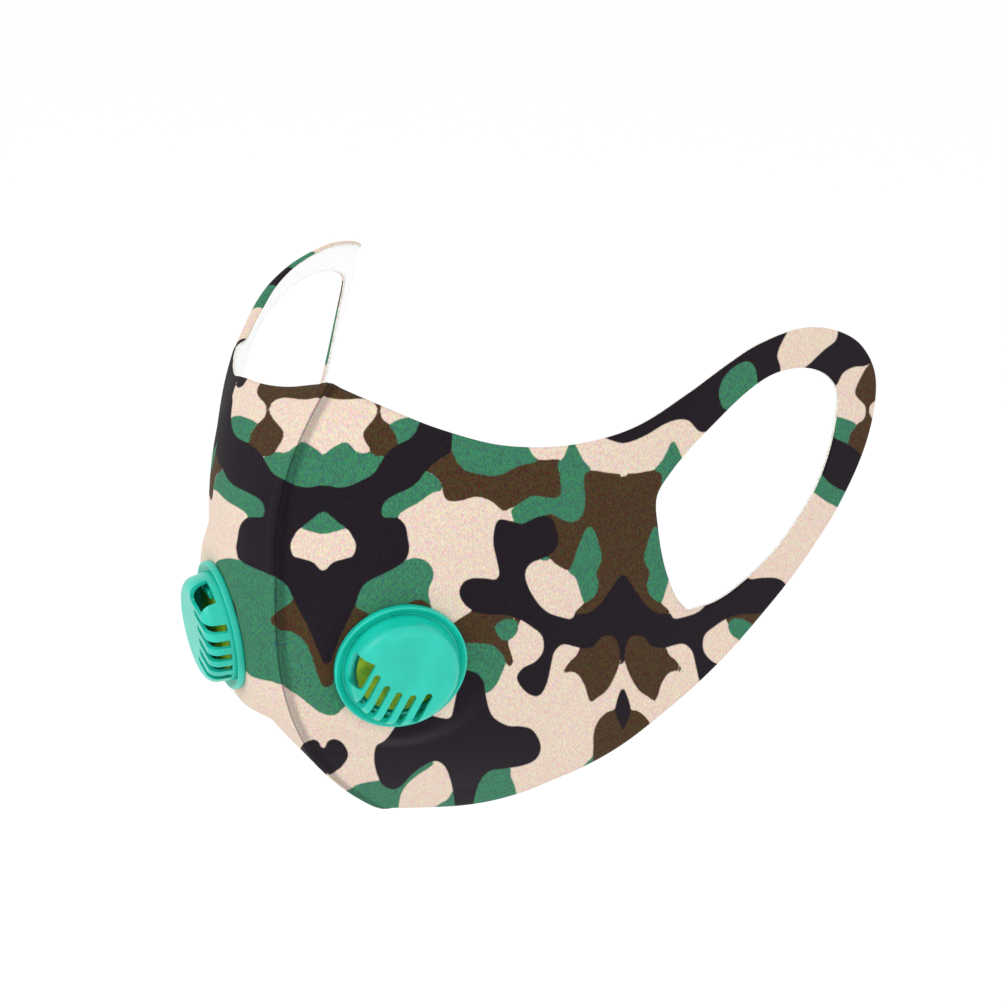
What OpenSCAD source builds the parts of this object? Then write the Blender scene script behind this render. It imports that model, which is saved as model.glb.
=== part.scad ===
// Camouflage face mask with two exhalation valves, in the shape it has when worn.
// Each half is one laminated blank of face fabric, foam and lining with its ear loop cut in one
// with it. The halves are sewn together along a curved centre seam.
// Frame: the face looks along -Y, +Z is up and +X is the wearer's left. The origin is on the
// plane of symmetry, where the wearer's lips are.

/* [Half mask] */
// Length of one half at mouth height, laid flat, from the seam to the ear end
half_length = 210; // [200:1:220]
// Half width between the two ear ends
ear_x = 95; // [88:1:100]
// Distance from the front of the seam back to the ear end
ear_y = 180; // [172:1:188]
// How far the lips are behind the front of the seam
lip_depth = 20; // [15:1:25]
// Height of the nose end of the seam
nose_z = 51; // [48:1:54]
// Height of the chin end of the seam
chin_z = -90; // [-92:1:-86]
// How far the seam runs back at the nose
nose_back = 27; // [22:1:30]
// How far the seam runs back under the chin
chin_back = 55; // [48:1:58]

/* [Fabric] */
// Thickness of the printed face fabric
face_t = 0.5; // [0.4:0.1:0.7]
// Thickness of the foam
foam_t = 0.7; // [0.5:0.1:1.2]
// Thickness of the white lining
lining_t = 0.4; // [0.3:0.1:0.6]
// Film of glue between two layers
glue = 0.02; // [0.01:0.01:0.03]

/* [Centre seam] */
// Width of the tape that covers the seam inside
tape_w = 10; // [8:0.5:11]
// Thickness of the tape
tape_t = 0.4; // [0.3:0.1:0.5]
// Distance between the two rows of stitches
stitch_rows = 5.6; // [4:0.2:6.4]
// Stitches in each row
stitches = 44; // [30:1:50]

/* [Valves] */
// Distance of a valve's centre from the front of the seam, laid flat
valve_x = 38.5; // [36:0.5:40]
// Height of a valve's centre
valve_z = -26; // [-28:1:-22]
// Turn of the left valve away from straight ahead, as the soft half carries it
left_yaw = 47; // [36:1:50]
// The same for the right valve
right_yaw = 38; // [36:1:50]
// Tilt of a valve below the horizontal
valve_pitch = 9; // [8:1:14]
// Outer radius of the valve's flange
flange_r = 19.5; // [19.2:0.1:19.8]
// Radius of the cover at its foot
cover_r = 16.8; // [16.6:0.1:17.2]
// Height of the cover's flat top above the fabric
cover_top = 9.4; // [9:0.1:9.8]
// Direction that the left cover's vent faces, from straight down towards the seam
left_vent = 25; // [0:5:355]
// The same for the right cover
right_vent = 75; // [0:5:355]

/* [Hidden] */
$fn = 96;

laminate_t = face_t + foam_t + lining_t;
seam_heading = 76;      // angle of the panels to straight back, at the front of the seam
ear_heading = 12;       // the same at the ear end
grid_columns = 22;
loop_steps = 44;
loop_columns = 3;

fabric_green = [0.24, 0.47, 0.34];
foam_white = [0.93, 0.92, 0.9];
lining_white = [0.97, 0.97, 0.97];
valve_teal = [0.16, 0.8, 0.7];
flap_lime = [0.5, 0.68, 0.08];

// Outlines, laid flat: [distance from the front of the seam, height].
// The hinge line of the ear loop crosses the half between its two straps.
strap_x = 138;
loop_x = 142;
// Heights of the top and bottom edges, at even steps from the seam to the hinge line
top_edge = [nose_z, 46, 40.5, 35.6, 33.8, 35.8, 43];
bottom_edge = [chin_z, -90.3, -89, -84.5, -76.5, -66.6, -54];
// Front of the ear hole, from the lower strap to the upper strap
hole_front = [[strap_x, -25], [132.5, -19], [127.5, -8], [124.5, 4], [123.6, 14], [129, 20.6], [strap_x, 27.5]];
// Rungs across the ear loop, from the lower strap round the ear to the upper strap: outer end, hole end
rungs = [
    [[loop_x, -51.2], [loop_x, -26.2]],
    [[155, -43], [149, -24.6]],
    [[167, -35], [159, -21.7]],
    [[179, -26.5], [171, -16]],
    [[191, -17], [182, -8]],
    [[203, -6.5], [191.5, 1]],
    [[213, 7], [197.5, 11]],
    [[218.5, 21], [200.5, 22]],
    [[218.5, 34], [200.5, 31]],
    [[210, 45], [195, 37.5]],
    [[196, 52], [186, 41.5]],
    [[181, 54.5], [176, 42.8]],
    [[165, 52.5], [166, 41.5]],
    [[152, 48.5], [154, 36.7]],
    [[loop_x, 44.6], [loop_x, 30.2]]
];

// ---- Curves ----

function mix(a, b, t) = a + (b - a) * t;
function clip01(t) = min(max(t, 0), 1);
function smooth(t) = let (c = clip01(t)) c * c * (3 - 2 * c);

// Smooth curve through a list of numbers or points, with t from 0 to 1
function through(list, t) =
    let (
        n = len(list) - 1,
        i = min(floor(t * n), n - 1),
        f = t * n - i,
        b = list[i],
        c = list[i + 1],
        a = i > 0 ? list[i - 1] : 2 * b - c,
        d = i < n - 1 ? list[i + 2] : 2 * c - b
    )
    b + (c - a) * f / 2 + (2 * a - 5 * b + 4 * c - d) * f * f / 2 + (3 * b - a - 3 * c + d) * f * f * f / 2;

// ---- The worn surface ----

// How far the seam is behind its front, at height z
function seam_back(z) =
    z > 0
    ? nose_back * pow(max(z - 5, 0) / (nose_z - 5), 2.3)
    : chin_back * pow(max(-5 - z, 0) / (-5 - chin_z), 2.6);

// Angle of the panel to straight back where it leaves the seam
function seam_turn(z) = seam_heading - 6 * pow(clip01(z / 50), 2) - 24 * pow(clip01(-z / 80), 2);

// Length of the half at height z, laid flat
function reach(z) = half_length * norm([ear_x, ear_y - seam_back(z)]) / norm([ear_x, ear_y]);

function seam_x(z) = half_length - reach(z);

// Where the flat point [x, z] lies on the bare surface, on the wearer's left
function bare(x, z) =
    let (
        t = 1 - (half_length - x) / reach(z),
        m = 1 - t,
        h = reach(z) / 3,
        a = [0, seam_back(z)],
        b = a + h * [sin(seam_turn(z)), cos(seam_turn(z))],
        d = [ear_x, ear_y],
        c = d - h * [sin(ear_heading), cos(ear_heading)],
        p = m * m * m * a + 3 * m * m * t * b + 3 * m * t * t * c + t * t * t * d
    )
    [p.x, p.y - lip_depth, z];

// Axis of a valve turned by yaw
function valve_axis(yaw) = [sin(yaw) * cos(valve_pitch), -cos(yaw) * cos(valve_pitch), -sin(valve_pitch)];

// Centre of a valve on the fabric
valve_centre = bare(valve_x, valve_z);
clamp_r = 22;           // the fabric is flat inside this radius
clamp_blend = 11;       // and returns to its own curve over this distance

// The outside of the mask: the bare surface, drawn flat where a valve turned by yaw clamps it
function outside(x, z, yaw) =
    let (
        p = bare(x, z),
        axis = valve_axis(yaw),
        rel = p - valve_centre,
        off = rel * axis,
        r = norm(rel - off * axis)
    )
    p - axis * off * smooth((clamp_r + clamp_blend - r) / clamp_blend);

// Outward direction of the surface at a flat point
function outward(x, z, yaw) =
    let (
        e = 0.4,
        n = cross(
            outside(x + e, z, yaw) - outside(x - e, z, yaw),
            outside(x, z + e, yaw) - outside(x, z - e, yaw)
        )
    )
    n / norm(n);

// A flat point carried to the worn shape, at a depth under the outside.
// On the seam the depth is measured in the plane of symmetry, so that the halves meet face to face.
function worn(q, depth, yaw) =
    let (
        n = outward(q.x, q.y, yaw),
        flat_n = [0, n.y, n.z],
        on_seam = q.x - seam_x(q.y) < 0.01
    )
    on_seam
    ? outside(q.x, q.y, yaw) - depth * flat_n / (flat_n * flat_n)
    : outside(q.x, q.y, yaw) - depth * n;

// ---- Fabric ----

// Rear boundary of the panel: lower strap, front of the ear hole, upper strap
rear = concat(
    [for (i = [0:5]) [strap_x, mix(bottom_edge[6], hole_front[0].y, i / 6)]],
    [for (i = [0:13]) through(hole_front, i / 14)],
    [for (i = [0:3]) [strap_x, mix(hole_front[6].y, top_edge[6], i / 3)]]
);
grid_rows = len(rear) - 1;

// Flat point of the panel's grid: c runs from the seam to the rear, and row from the bottom up
function panel_flat(c, row) =
    let (
        rear_share = (rear[row].y - bottom_edge[6]) / (top_edge[6] - bottom_edge[6]),
        share = mix(row / grid_rows, rear_share, c),
        z = mix(through(bottom_edge, c), through(top_edge, c), share)
    )
    [mix(seam_x(z), rear[row].x, c), z];

rung_outer = [for (r = rungs) r[0]];
rung_hole = [for (r = rungs) r[1]];

// Flat point of the loop's grid: t runs from the lower strap to the upper strap
function loop_flat(t, row) = mix(through(rung_hole, t), through(rung_outer, t), row / loop_columns);

panel_grid = [for (i = [0:grid_columns]) [for (j = [0:grid_rows]) panel_flat(i / grid_columns, j)]];
loop_grid = [for (i = [0:loop_steps]) [for (j = [0:loop_columns]) loop_flat(i / loop_steps, j)]];

// A closed solid between two grids of points with the same rows and columns
module slab(top, under) {
    a = len(top) - 1;
    b = len(top[0]) - 1;
    w = b + 1;
    u = (a + 1) * w;
    points = concat([for (row = top) each row], [for (row = under) each row]);
    rim = concat(
        [for (i = [0:a - 1]) i * w],
        [for (j = [0:b - 1]) a * w + j],
        [for (i = [a:-1:1]) i * w + b],
        [for (j = [b:-1:1]) j]
    );
    faces = concat(
        [for (i = [0:a - 1], j = [0:b - 1]) each [
            [i * w + j, (i + 1) * w + j, (i + 1) * w + j + 1],
            [i * w + j, (i + 1) * w + j + 1, i * w + j + 1]
        ]],
        [for (i = [0:a - 1], j = [0:b - 1]) each [
            [u + i * w + j, u + (i + 1) * w + j + 1, u + (i + 1) * w + j],
            [u + i * w + j, u + i * w + j + 1, u + (i + 1) * w + j + 1]
        ]],
        [for (k = [0:len(rim) - 1]) let (p = rim[k], q = rim[(k + 1) % len(rim)]) each [
            [p, u + p, u + q],
            [p, u + q, q]
        ]]
    );
    polyhedron(points, faces, convexity = 10);
}

// One layer of the laminate over a flat grid, between two depths
module layer(grid, from_depth, to_depth, yaw, flip = false) {
    near = [for (row = grid) [for (q = row) worn(q, from_depth, yaw)]];
    far = [for (row = grid) [for (q = row) worn(q, to_depth, yaw)]];
    if (flip) slab(near, far); else slab(far, near);
}

module panel_layer(from_depth, to_depth, yaw) {
    difference() {
        layer(panel_grid, from_depth, to_depth, yaw, true);
        at_valve(yaw) cylinder(r = fabric_hole_r, h = 20, center = true);
    }
}

module loop_layer(from_depth, to_depth) {
    layer(loop_grid, from_depth, to_depth, left_yaw);
}

foam_from = face_t + glue;
lining_from = face_t + foam_t + glue;

module panel_face(yaw) { color(fabric_green) panel_layer(0, face_t, yaw); }
module panel_foam(yaw) { color(foam_white) panel_layer(foam_from, face_t + foam_t, yaw); }
module panel_lining(yaw) { color(lining_white) panel_layer(lining_from, laminate_t, yaw); }
module loop_face() { color(fabric_green) loop_layer(0, face_t); }
module loop_foam() { color(foam_white) loop_layer(foam_from, face_t + foam_t); }
module loop_lining() { color(lining_white) loop_layer(lining_from, laminate_t); }

// ---- Centre seam ----

seam_steps = 40;
tape_gap = 0.25;        // air under the tape, which only its stitches hold to the lining
tape_from = laminate_t + tape_gap;

function seam_height(t) = mix(chin_z + 1, nose_z - 1, t);

// A point beside the seam at depth d; a negative offset is on the wearer's right
function beside_seam(offset, z, d) =
    let (p = worn([seam_x(z) + abs(offset), z], d, offset < 0 ? right_yaw : left_yaw))
    [offset < 0 ? -p.x : p.x, p.y, p.z];

module seam_tape() {
    offsets = [for (k = [-2:2]) k * tape_w / 4];
    top = [for (i = [0:seam_steps]) [for (o = offsets) beside_seam(o, seam_height(i / seam_steps), tape_from)]];
    under = [for (i = [0:seam_steps]) [for (o = offsets) beside_seam(o, seam_height(i / seam_steps), tape_from + tape_t)]];
    color(lining_white) slab(under, top);
}

// A round thread between two points
module thread(a, b, r) {
    d = b - a;
    translate(a)
        rotate([0, acos(d.z / norm(d)), atan2(d.y, d.x)])
            cylinder(r = r, h = norm(d), $fn = 16);
}

module seam_stitching() {
    thread_r = 0.22;
    depth = tape_from + tape_t + 0.08;
    color(lining_white)
        for (side = [-1, 1], i = [0:stitches - 1])
            thread(
                beside_seam(side * stitch_rows / 2, seam_height((i + 0.2) / stitches), depth),
                beside_seam(side * stitch_rows / 2, seam_height((i + 0.85) / stitches), depth),
                thread_r
            );
}

// ---- Valves: local +Z is outward from the fabric's outside, +Y is up, -X is towards the seam ----

neck_r = 14.2;
fabric_hole_r = 14.4;
neck_end = -4;
plate_t = 1;            // seat plate, and the floor of the groove that the cover stands in
bore_r = 10.8;
lip_r = 11.8;
flap_z = 2.25;          // underside of the flap
flap_t = 0.5;
flap_r = 13.4;
pin_x = 3.4;
pin_y = 12;
pin_r = 0.7;
tab_r = 13.9;           // reach of the flap's pinned tab
clip_z = 3.15;
clip_t = 1;
snap_r = 15.2;          // ring that the cover turns on
snap_z = 2.1;           // underside of its snap bead
seat_gap = 0.02;        // between a clamped layer and the plastic
grille_plate_z = -5.3;

module at_valve(yaw) {
    translate(valve_centre) rotate([90 + valve_pitch, 0, yaw]) children();
}

// A ring of rectangular section
module ring(inner, outer, from, to) {
    rotate_extrude() translate([inner, from]) square([outer - inner, to - from]);
}

module valve_seat() {
    color(valve_teal) {
        difference() {
            union() {
                // saucer flange with its raised rounded lip
                rotate_extrude() polygon([
                    [neck_r, seat_gap], [flange_r - 0.3, seat_gap], [flange_r, 0.3], [flange_r, 1.9],
                    [flange_r - 0.15, 2.15], [flange_r - 0.45, 2.25], [flange_r - 0.8, 2.1],
                    [cover_r + 0.4, plate_t], [neck_r, plate_t]
                ]);
                cylinder(r = neck_r + 0.01, h = plate_t);
                // snap ring that holds the cover, with its bead
                rotate_extrude() polygon([
                    [snap_r - 0.8, plate_t - 0.1], [snap_r, plate_t - 0.1], [snap_r, snap_z], [snap_r + 0.22, snap_z + 0.15],
                    [snap_r + 0.22, snap_z + 0.35], [snap_r, snap_z + 0.6], [snap_r - 0.8, snap_z + 0.6]
                ]);
                ring(bore_r, lip_r, plate_t - 0.1, flap_z - 0.05);
                ring(neck_r - 1.4, neck_r, neck_end, 0.1);
                // bead that the back grille snaps over
                rotate_extrude() polygon([
                    [neck_r - 0.2, -3.7], [neck_r, -3.7], [neck_r + 0.2, -3.5], [neck_r + 0.2, -3.3], [neck_r, -3.1], [neck_r - 0.2, -3.1]
                ]);
            }
            translate([0, 0, -1]) cylinder(r = bore_r, h = 3 + plate_t);
        }
        // cross ribs under the flap
        for (turn = [0:45:135])
            rotate(turn) translate([-bore_r - 0.2, -0.5, 0]) cube([2 * bore_r + 0.4, 1, plate_t]);
        cylinder(r = 2.6, h = plate_t);
        // pins of the flap
        for (side = [-1, 1])
            translate([side * pin_x, pin_y, plate_t - 0.1]) cylinder(r = pin_r, h = clip_z + clip_t + 0.3 - plate_t, $fn = 32);
    }
}

// Section of the cover: foot, side wall, round shoulder and flat top
shoulder = 3.6;
wall_t = 1.1;
foot_z = plate_t + 0.08;

function cover_profile(inset) =
    let (r = cover_r - inset, top = cover_top - inset, s = shoulder - inset * 0.4)
    concat(
        [[r - 0.7 * (4.6 - foot_z) / 4.6, 4.6]],
        [for (a = [10:10:90]) [r - 0.7 - s + s * cos(a), top - s + s * sin(a)]]
    );

module valve_cover() {
    slot_r = 1.1;
    slot_pitch = 4.3;
    slot_floor = 3;
    arc_r = 15;             // the slots' inner ends lie on an arc of this radius
    arc_centre = 9.5;       // whose centre is this far above the cover's own
    color(valve_teal)
        difference() {
            rotate_extrude() polygon(concat(
                [[cover_r - wall_t, foot_z], [cover_r - 0.1, foot_z], [cover_r, foot_z + 0.2]],
                cover_profile(0),
                [[0, cover_top], [0, cover_top - wall_t]],
                [for (k = [len(cover_profile(wall_t)) - 1:-1:0]) cover_profile(wall_t)[k]],
                [[cover_r - wall_t, snap_z], [snap_r + 0.08, snap_z - 0.15], [snap_r + 0.08, snap_z - 0.5], [cover_r - wall_t, snap_z - 0.7]]
            ));
            // five narrow slots and one wide window, cut over the shoulder and down the side
            for (k = [-2:2])
                let (x = k * slot_pitch, y = sqrt(arc_r * arc_r - x * x) - arc_centre) {
                    translate([x - slot_r, -cover_r - 2, slot_floor]) cube([2 * slot_r, cover_r + 2 - y, 12]);
                    translate([x, -y, slot_floor]) cylinder(r = slot_r, h = 12, $fn = 32);
                }
            translate([0, 0, slot_floor + 1])
                linear_extrude(12)
                    offset(r = 1) translate([-20, -7]) square([8.3, 7]);
        }
}

module valve_flap() {
    color(flap_lime)
        translate([0, 0, flap_z])
            difference() {
                union() {
                    cylinder(r = flap_r, h = flap_t);
                    intersection() {
                        cylinder(r = tab_r, h = flap_t);
                        translate([-6, 8, 0]) cube([12, 8, flap_t]);
                    }
                }
                for (side = [-1, 1])
                    translate([side * pin_x, pin_y, -1]) cylinder(r = pin_r + 0.25, h = 3, $fn = 32);
            }
}

module flap_clip() {
    color(valve_teal)
        translate([0, 0, clip_z])
            difference() {
                translate([-5.2, pin_y - 1.3, 0]) cube([10.4, 2.4, clip_t]);
                for (side = [-1, 1])
                    translate([side * pin_x, pin_y, -1]) cylinder(r = pin_r + 0.01, h = 3, $fn = 32);
            }
}

module back_grille() {
    back_r = 18;
    collar_r = 15.6;
    inside_r = neck_r + 0.06;
    rest_z = -laminate_t - seat_gap;
    color(valve_teal)
        difference() {
            rotate_extrude() polygon([
                [inside_r, rest_z], [back_r - 0.2, rest_z], [back_r, rest_z - 0.2],
                [back_r, rest_z - 0.9], [back_r - 0.4, rest_z - 1.3], [collar_r + 0.5, rest_z - 1.3],
                [collar_r, rest_z - 1.8], [collar_r, grille_plate_z + 0.5], [collar_r - 0.5, grille_plate_z], [0, grille_plate_z],
                [0, grille_plate_z + 1], [inside_r, grille_plate_z + 1], [inside_r, -3.75], [inside_r + 0.2, -3.55],
                [inside_r + 0.2, -3.25], [inside_r, -3.05]
            ]);
            // air holes: one in the middle and two rings round it
            for (row = [[0, 1], [5, 6], [10, 12]], k = [0:row[1] - 1])
                rotate(k * 360 / row[1]) translate([row[0], 0, grille_plate_z - 1]) cylinder(r = 1.8, h = 3, $fn = 32);
        }
}

module to_right() { mirror([1, 0, 0]) children(); }

// ---- Nodes ----

panel_face(left_yaw);  // left_panel_face
panel_foam(left_yaw);  // left_panel_foam
panel_lining(left_yaw);  // left_panel_lining
to_right() panel_face(right_yaw);  // right_panel_face
to_right() panel_foam(right_yaw);  // right_panel_foam
to_right() panel_lining(right_yaw);  // right_panel_lining
loop_face();  // left_loop_face
loop_foam();  // left_loop_foam
loop_lining();  // left_loop_lining
to_right() loop_face();  // right_loop_face
to_right() loop_foam();  // right_loop_foam
to_right() loop_lining();  // right_loop_lining
seam_tape();
seam_stitching();
at_valve(left_yaw) valve_seat();  // left_valve_seat
at_valve(left_yaw) rotate(-left_vent) valve_cover();  // left_valve_cover
at_valve(left_yaw) valve_flap();  // left_valve_flap
at_valve(left_yaw) flap_clip();  // left_flap_clip
at_valve(left_yaw) back_grille();  // left_back_grille
to_right() at_valve(right_yaw) valve_seat();  // right_valve_seat
to_right() at_valve(right_yaw) rotate(-right_vent) valve_cover();  // right_valve_cover
to_right() at_valve(right_yaw) valve_flap();  // right_valve_flap
to_right() at_valve(right_yaw) flap_clip();  // right_flap_clip
to_right() at_valve(right_yaw) back_grille();  // right_back_grille
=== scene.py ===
"""Looks of the camouflage face mask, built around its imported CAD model.

Cloth lengths are in millimetres, as in the CAD source, and become metres when a mesh is made.
A flat point is (x, z): x is the distance back from the front of the seam and z is the height.
"""

import math

import bpy
import numpy as np
from mathutils import Matrix, Vector


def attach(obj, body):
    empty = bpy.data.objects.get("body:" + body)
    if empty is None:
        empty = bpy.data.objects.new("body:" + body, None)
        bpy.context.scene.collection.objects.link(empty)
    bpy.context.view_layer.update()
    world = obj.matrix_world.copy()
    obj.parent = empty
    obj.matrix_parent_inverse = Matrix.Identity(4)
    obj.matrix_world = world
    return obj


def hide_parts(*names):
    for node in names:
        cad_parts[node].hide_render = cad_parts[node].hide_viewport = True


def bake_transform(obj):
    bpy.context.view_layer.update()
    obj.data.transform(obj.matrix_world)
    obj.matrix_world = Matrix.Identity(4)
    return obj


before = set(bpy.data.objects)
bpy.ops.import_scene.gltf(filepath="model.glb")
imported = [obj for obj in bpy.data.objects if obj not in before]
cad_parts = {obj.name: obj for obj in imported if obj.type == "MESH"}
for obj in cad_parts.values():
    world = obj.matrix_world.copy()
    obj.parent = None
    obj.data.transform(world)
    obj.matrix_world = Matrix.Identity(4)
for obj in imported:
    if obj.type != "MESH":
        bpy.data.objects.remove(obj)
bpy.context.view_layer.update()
MM = 0.001
MIRRORED = np.array((-1, 1, 1))

# ---- Sizes: the same pattern and curves as the CAD model ----

HALF_LENGTH = 210.0
EAR = (95.0, 180.0)
LIP_DEPTH = 20.0
NOSE_Z, CHIN_Z = 51.0, -90.0
NOSE_BACK, CHIN_BACK = 27.0, 55.0
# The seam is straight for this far above and below the lips, then curves back with these powers
SEAM_STRAIGHT, NOSE_POWER, CHIN_POWER = 5.0, 2.3, 2.6
# Angles of the panel to straight back at the seam's front and at the ear, and how much less the first is
# from these heights on
SEAM_HEADING, EAR_HEADING = 76.0, 12.0
NOSE_TURN, NOSE_TURN_Z = 6.0, 50.0
CHIN_TURN, CHIN_TURN_Z = 24.0, 80.0
STRAP_X = 138.0
FACE_T, FOAM_T, LINING_T = 0.5, 0.7, 0.4
GLUE = 0.02
LAMINATE_T = FACE_T + FOAM_T + LINING_T

TOP_EDGE = [NOSE_Z, 46, 40.5, 35.6, 33.8, 35.8, 43]
BOTTOM_EDGE = [CHIN_Z, -90.3, -89, -84.5, -76.5, -66.6, -54]
HOLE_FRONT = [
    (STRAP_X, -25), (132.5, -19), (127.5, -8), (124.5, 4), (123.6, 14), (129, 20.6), (STRAP_X, 27.5),
]
# Rungs across the ear loop, from the lower strap round the ear to the upper one: outer end, hole end
RUNGS = [
    ((STRAP_X, -54), (STRAP_X, -25)),
    ((155, -43), (149, -24.6)),
    ((167, -35), (159, -21.7)),
    ((179, -26.5), (171, -16)),
    ((191, -17), (182, -8)),
    ((203, -6.5), (191.5, 1)),
    ((213, 7), (197.5, 11)),
    ((218.5, 21), (200.5, 22)),
    ((218.5, 34), (200.5, 31)),
    ((210, 45), (195, 37.5)),
    ((196, 52), (186, 41.5)),
    ((181, 54.5), (176, 42.8)),
    ((165, 52.5), (166, 41.5)),
    ((152, 48.5), (154, 36.7)),
    ((STRAP_X, 43), (STRAP_X, 27.5)),
]

VALVE_FLAT = (38.5, -26.0)
VALVE_YAW = {"left": 47.0, "right": 38.0}
VALVE_PITCH = 9.0
CLAMP_R, CLAMP_BLEND = 22.0, 11.0
FABRIC_HOLE_R = 14.4

TAPE_W, TAPE_T, TAPE_GAP = 10.0, 0.4, 0.25
STITCH_ROWS, STITCHES = 5.6, 44

# ---- Sizes of the cloth's finer shape ----

# Waves of the worn cloth, and the puckers that the seam pulls into it
WAVE, RIPPLE, PUCKER = 0.30, 0.14, 0.10
PUCKER_PITCH, PUCKER_AT, PUCKER_REACH = 5.2, 6.0, 3.5
# The seam's groove, and the ridge over the allowance beside it
GROOVE, GROOVE_W = 0.36, 0.6
RIDGE, ALLOWANCE_W = 0.22, 4.2
# The right half is softer set: its top is lifted, its rear is spread and its ear loop leans
RIGHT_LIFT, RIGHT_SPREAD, RIGHT_LEAN = 6.0, 8.0, 9.0
# The top edge of the right ear loop, and of the panel back from ROLL_FRONT, rolls in
ROLL_WIDTH, ROLL_ANGLE, ROLL_FRONT = 4.2, 115.0, 100.0
# How far a cut edge of the face and of the lining is pressed in
FACE_PINCH, LINING_PINCH = 0.15, -0.12
# Grid of a half: columns of the panel, rows of a strap, rows beside the ear hole, steps round the loop
FINE_GRID, COARSE_GRID = (170, 26, 66, 250), (75, 13, 33, 125)
THREAD_R, STITCH_SIDES, STITCH_RINGS = 0.24, 8, 9


# ---- The worn shape ----

def smooth(t):
    """0 to 1 with level ends."""
    t = np.clip(t, 0, 1)
    return t * t * (3 - 2 * t)


def fade(value, start, end):
    """Smooth change from 0 at start to 1 at end."""
    return smooth((value - start) / (end - start))


def unit(v):
    return v / np.linalg.norm(v, axis=-1, keepdims=True)


def spline(a, b, c, d, f):
    """Point at f from b to c, on a smooth curve through a, b, c and d."""
    return b + (c - a) * f / 2 + (2 * a - 5 * b + 4 * c - d) * f**2 / 2 + (3 * b - a - 3 * c + d) * f**3 / 2


def through(values, t):
    """Smooth curve through a list of numbers or points, with t from 0 to 1."""
    p = np.asarray(values, float)
    t = np.asarray(t, float)
    last = len(p) - 1
    p = np.concatenate([[2 * p[0] - p[1]], p, [2 * p[-1] - p[-2]]])
    i = np.minimum((t * last).astype(int), last - 1)
    f = t * last - i
    return spline(p[i], p[i + 1], p[i + 2], p[i + 3], f[..., None] if p.ndim > 1 else f)


def seam_back(z):
    """How far the seam is behind its front at height z."""
    upper = NOSE_BACK * (np.maximum(z - SEAM_STRAIGHT, 0) / (NOSE_Z - SEAM_STRAIGHT)) ** NOSE_POWER
    lower = CHIN_BACK * (np.maximum(-SEAM_STRAIGHT - z, 0) / (-SEAM_STRAIGHT - CHIN_Z)) ** CHIN_POWER
    return np.where(z > 0, upper, lower)


def seam_turn(z):
    """Angle of the panel to straight back where it leaves the seam."""
    upper = NOSE_TURN * np.clip(z / NOSE_TURN_Z, 0, 1) ** 2
    lower = CHIN_TURN * np.clip(-z / CHIN_TURN_Z, 0, 1) ** 2
    return np.radians(SEAM_HEADING - upper - lower)


def reach(z):
    """Length of the half at height z, laid flat."""
    return HALF_LENGTH * np.hypot(EAR[0], EAR[1] - seam_back(z)) / math.hypot(*EAR)


def seam_x(z):
    """Flat x of the seam at height z."""
    return HALF_LENGTH - reach(z)


def from_seam(x, z):
    """Distance behind the seam along the cloth."""
    return x - seam_x(z)


def bare(x, z):
    """Where the flat point (x, z) lies on the bare surface, on the wearer's left."""
    t = 1 - (HALF_LENGTH - x) / reach(z)
    m = 1 - t
    h = reach(z) / 3
    turn, ear_turn = seam_turn(z), math.radians(EAR_HEADING)
    a = (0 * z, seam_back(z))
    b = (a[0] + h * np.sin(turn), a[1] + h * np.cos(turn))
    c = (EAR[0] - h * math.sin(ear_turn), EAR[1] - h * math.cos(ear_turn))
    across, back = (
        m**3 * a[k] + 3 * m * m * t * b[k] + 3 * m * t * t * c[k] + t**3 * EAR[k] for k in (0, 1)
    )
    return np.stack([across, back - LIP_DEPTH, z + 0 * t], -1)


VALVE_CENTRE = bare(np.array(VALVE_FLAT[0]), np.array(VALVE_FLAT[1]))


def valve_axis(side):
    """Outward direction of a valve, as it is on the wearer's left."""
    yaw, pitch = math.radians(VALVE_YAW[side]), math.radians(VALVE_PITCH)
    return np.array([math.sin(yaw) * math.cos(pitch), -math.cos(yaw) * math.cos(pitch), -math.sin(pitch)])


def from_valve(points, side):
    """Height of points over the valve's plane, and their distance from its axis."""
    axis = valve_axis(side)
    rel = points - VALVE_CENTRE
    height = rel @ axis
    return height, np.linalg.norm(rel - height[..., None] * axis, axis=-1)


def outside(x, z, side):
    """The outside of the mask: the bare surface, drawn flat where a valve clamps it."""
    p = bare(x, z)
    height, r = from_valve(p, side)
    pull = fade(r, CLAMP_R + CLAMP_BLEND, CLAMP_R)
    return p - valve_axis(side) * (height * pull)[..., None]


def outward(x, z, side):
    """Outward direction of the surface at a flat point."""
    e = 0.4
    along = outside(x + e, z, side) - outside(x - e, z, side)
    return unit(np.cross(along, outside(x, z + e, side) - outside(x, z - e, side)))


def undulation(x, z, side):
    """Height of the cloth's small waves above its smooth shape: long ones, and puckers beside the seam."""
    s = from_seam(x, z)
    waves = WAVE * np.sin(x / 19 + 1.3) * np.sin(z / 23 + 0.4) + RIPPLE * np.sin(x / 8.5 + z / 13)
    beside = np.exp(-(((s - PUCKER_AT) / PUCKER_REACH) ** 2))
    puckers = PUCKER * np.sin(z * 2 * math.pi / PUCKER_PITCH) * beside
    clear_of_valve = fade(from_valve(bare(x, z), side)[1], CLAMP_R - 1, CLAMP_R + 11)
    return (waves * fade(s, 5, 17) + puckers) * clear_of_valve


def seam_form(x, z):
    """The stitched groove of the seam, and the ridge that its allowance makes beside it."""
    s = from_seam(x, z)
    return RIDGE * fade(s, 0, 1) * fade(s, ALLOWANCE_W, 2.8) - GROOVE * np.exp(-((s / GROOVE_W) ** 2))


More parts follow.
